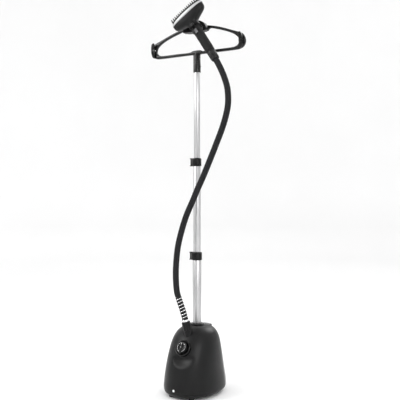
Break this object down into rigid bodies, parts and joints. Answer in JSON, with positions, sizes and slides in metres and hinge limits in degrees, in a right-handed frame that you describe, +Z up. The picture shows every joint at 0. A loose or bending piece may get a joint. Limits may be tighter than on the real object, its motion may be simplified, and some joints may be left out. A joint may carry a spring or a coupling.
{
  "type": "garment steamer",
  "caption": "Upright garment steamer: bell-shaped base with water tank, telescopic pole, hanger loop, hanging steam head and woven hose.",
  "frame": {"origin": "on the floor under the middle of the base's own box, hoses not counted", "axes": "+Z up along the pole, -Y towards the front of the base where the knob is, +X to the right seen from the front"},
  "size_m": [0.438, 0.2866, 1.5663],
  "materials": {
    "black_plastic": "fine-grained satin moulding",
    "gloss_plastic": "glossy moulding",
    "smoke_plastic": "dark smoky gloss",
    "grey_plastic": "satin silver-grey",
    "white_plastic": "satin",
    "clear_silicone": "milky silicone",
    "rubber": "matt",
    "pole_metal": "satin anodised with fine lengthwise lines",
    "bright_metal": "polished",
    "cast_metal": "sand-cast",
    "brass": "stamped",
    "woven_hose": "tight black braid"
  },
  "bodies": {
    "root": {"base_tray": "black_plastic", "foot_left": "rubber", "foot_right": "rubber", "axle_left": "bright_metal", "axle_right": "bright_metal", "cord_gland": "rubber", "housing_shell": "black_plastic", "pole_socket": "gloss_plastic", "indicator_lens": "white_plastic", "knob_bezel": "gloss_plastic", "rotary_switch": "black_plastic", "port_boss": "black_plastic", "port_ring": "bright_metal", "hose_root": "woven_hose", "bend_spring": "bright_metal", "boiler_cup": "cast_metal", "boiler_lid": "cast_metal", "heater_element": "cast_metal", "thermostat": "brass", "feed_tube": "clear_silicone", "steam_tube": "clear_silicone", "terminal_block": "white_plastic", "tube_lower": "pole_metal", "clamp_lower_body": "black_plastic", "clamp_lower_pin": "bright_metal", "hose_lower": "woven_hose"},
    "wheel_left_body": {"wheel_left": "rubber"},
    "wheel_right_body": {"wheel_right": "rubber"},
    "coupling_nut": {"collar_nut": "black_plastic"},
    "knob": {"power_knob": "black_plastic"},
    "tank": {"water_tank": "smoke_plastic"},
    "tank_grip": {"tank_handle": "grey_plastic"},
    "tank_closure": {"tank_cap": "black_plastic"},
    "valve": {"valve_plunger": "white_plastic"},
    "pole_middle": {"tube_middle": "pole_metal", "bush_middle": "black_plastic", "clamp_upper_body": "black_plastic", "clamp_upper_pin": "bright_metal", "hose_upper": "woven_hose"},
    "pole_upper": {"tube_upper": "pole_metal", "bush_upper": "black_plastic", "pole_sleeve": "black_plastic", "hanger_frame": "gloss_plastic", "clip_pin_left": "bright_metal", "clip_pin_right": "bright_metal", "hub_cradle": "black_plastic"},
    "lever_lower": {"clamp_lower_lever": "black_plastic"},
    "lever_upper": {"clamp_upper_lever": "black_plastic"},
    "release_button": {"sleeve_button": "gloss_plastic"},
    "clip_left": {"hanger_clip_left": "gloss_plastic"},
    "clip_right": {"hanger_clip_right": "gloss_plastic"},
    "handset": {"handle_cuff": "black_plastic", "handle_grip": "black_plastic", "head_shell": "black_plastic", "steam_plate": "grey_plastic", "steam_pipe": "clear_silicone"},
    "steam_slider": {"steam_switch": "grey_plastic"},
    "brush_body": {"brush": "black_plastic"}
  },
  "joints": [
    {"name": "pole_middle_slide", "type": "slide", "parent": "root", "child": "pole_middle", "axis": [0, 0, 1], "range_m": [-0.265, 0], "deforming": ["hose_lower"]},
    {"name": "pole_upper_slide", "type": "slide", "parent": "pole_middle", "child": "pole_upper", "axis": [0, 0, 1], "range_m": [-0.33, 0], "deforming": ["hose_upper"]},
    {"name": "lower_lever_hinge", "type": "hinge", "parent": "root", "child": "lever_lower", "pos_m": [-0.0271, 0.01435, 0.544], "axis": [0, 0, -1], "range_deg": [0, 110]},
    {"name": "upper_lever_hinge", "type": "hinge", "parent": "pole_middle", "child": "lever_upper", "pos_m": [-0.0246, 0.01435, 0.923], "axis": [0, 0, -1], "range_deg": [0, 110]},
    {"name": "release_button_press", "type": "slide", "parent": "pole_upper", "child": "release_button", "axis": [-1, 0, 0], "range_m": [0, 0.002], "stiffness_N_per_m": 300},
    {"name": "knob_turn", "type": "hinge", "parent": "root", "child": "knob", "pos_m": [0.006, -0.10315, 0.194], "axis": [0, -0.8988, 0.4384], "range_deg": [-270, 0]},
    {"name": "coupling_nut_turn", "type": "hinge", "parent": "root", "child": "coupling_nut", "pos_m": [0.0055, -0.06365, 0.246], "axis": [-0.1444, -0.1718, 0.9745], "range_deg": [0, 180]},
    {"name": "wheel_left_spin", "type": "hinge", "parent": "root", "child": "wheel_left_body", "pos_m": [-0.066, 0.08635, 0.013], "axis": [1, 0, 0], "continuous": true},
    {"name": "wheel_right_spin", "type": "hinge", "parent": "root", "child": "wheel_right_body", "pos_m": [0.066, 0.08635, 0.013], "axis": [1, 0, 0], "continuous": true},
    {"name": "tank_lift", "type": "slide", "parent": "root", "child": "tank", "axis": [0, 0, 1], "range_m": [0, 0.15]},
    {"name": "tank_handle_fold", "type": "hinge", "parent": "tank", "child": "tank_grip", "pos_m": [0, 0.05975, 0.261], "axis": [1, 0, 0], "range_deg": [0, 90]},
    {"name": "tank_cap_turn", "type": "hinge", "parent": "tank", "child": "tank_closure", "pos_m": [0, 0.08035, 0.02], "axis": [0, 0, 1], "range_deg": [0, 120]},
    {"name": "valve_press", "type": "slide", "parent": "tank_closure", "child": "valve", "axis": [0, 0, 1], "range_m": [0, 0.003], "stiffness_N_per_m": 120},
    {"name": "handset_lift", "type": "slide", "parent": "pole_upper", "child": "handset", "axis": [-0.5556, 0, 0.8315], "range_m": [0, 0.03]},
    {"name": "steam_switch_slide", "type": "slide", "parent": "handset", "child": "steam_slider", "axis": [-0.5556, 0, 0.8315], "range_m": [0, 0.012]},
    {"name": "brush_slide", "type": "slide", "parent": "handset", "child": "brush_body", "axis": [-0.5556, 0, 0.8315], "range_m": [0, 0.025]},
    {"name": "clip_left_hinge", "type": "hinge", "parent": "pole_upper", "child": "clip_left", "pos_m": [-0.207, 0.00135, 1.392], "axis": [1, 0, 0], "range_deg": [-14, 0], "stiffness_Nm_per_rad": 0.3},
    {"name": "clip_right_hinge", "type": "hinge", "parent": "pole_upper", "child": "clip_right", "pos_m": [0.207, 0.00135, 1.392], "axis": [1, 0, 0], "range_deg": [-14, 0], "stiffness_Nm_per_rad": 0.3}
  ]
}
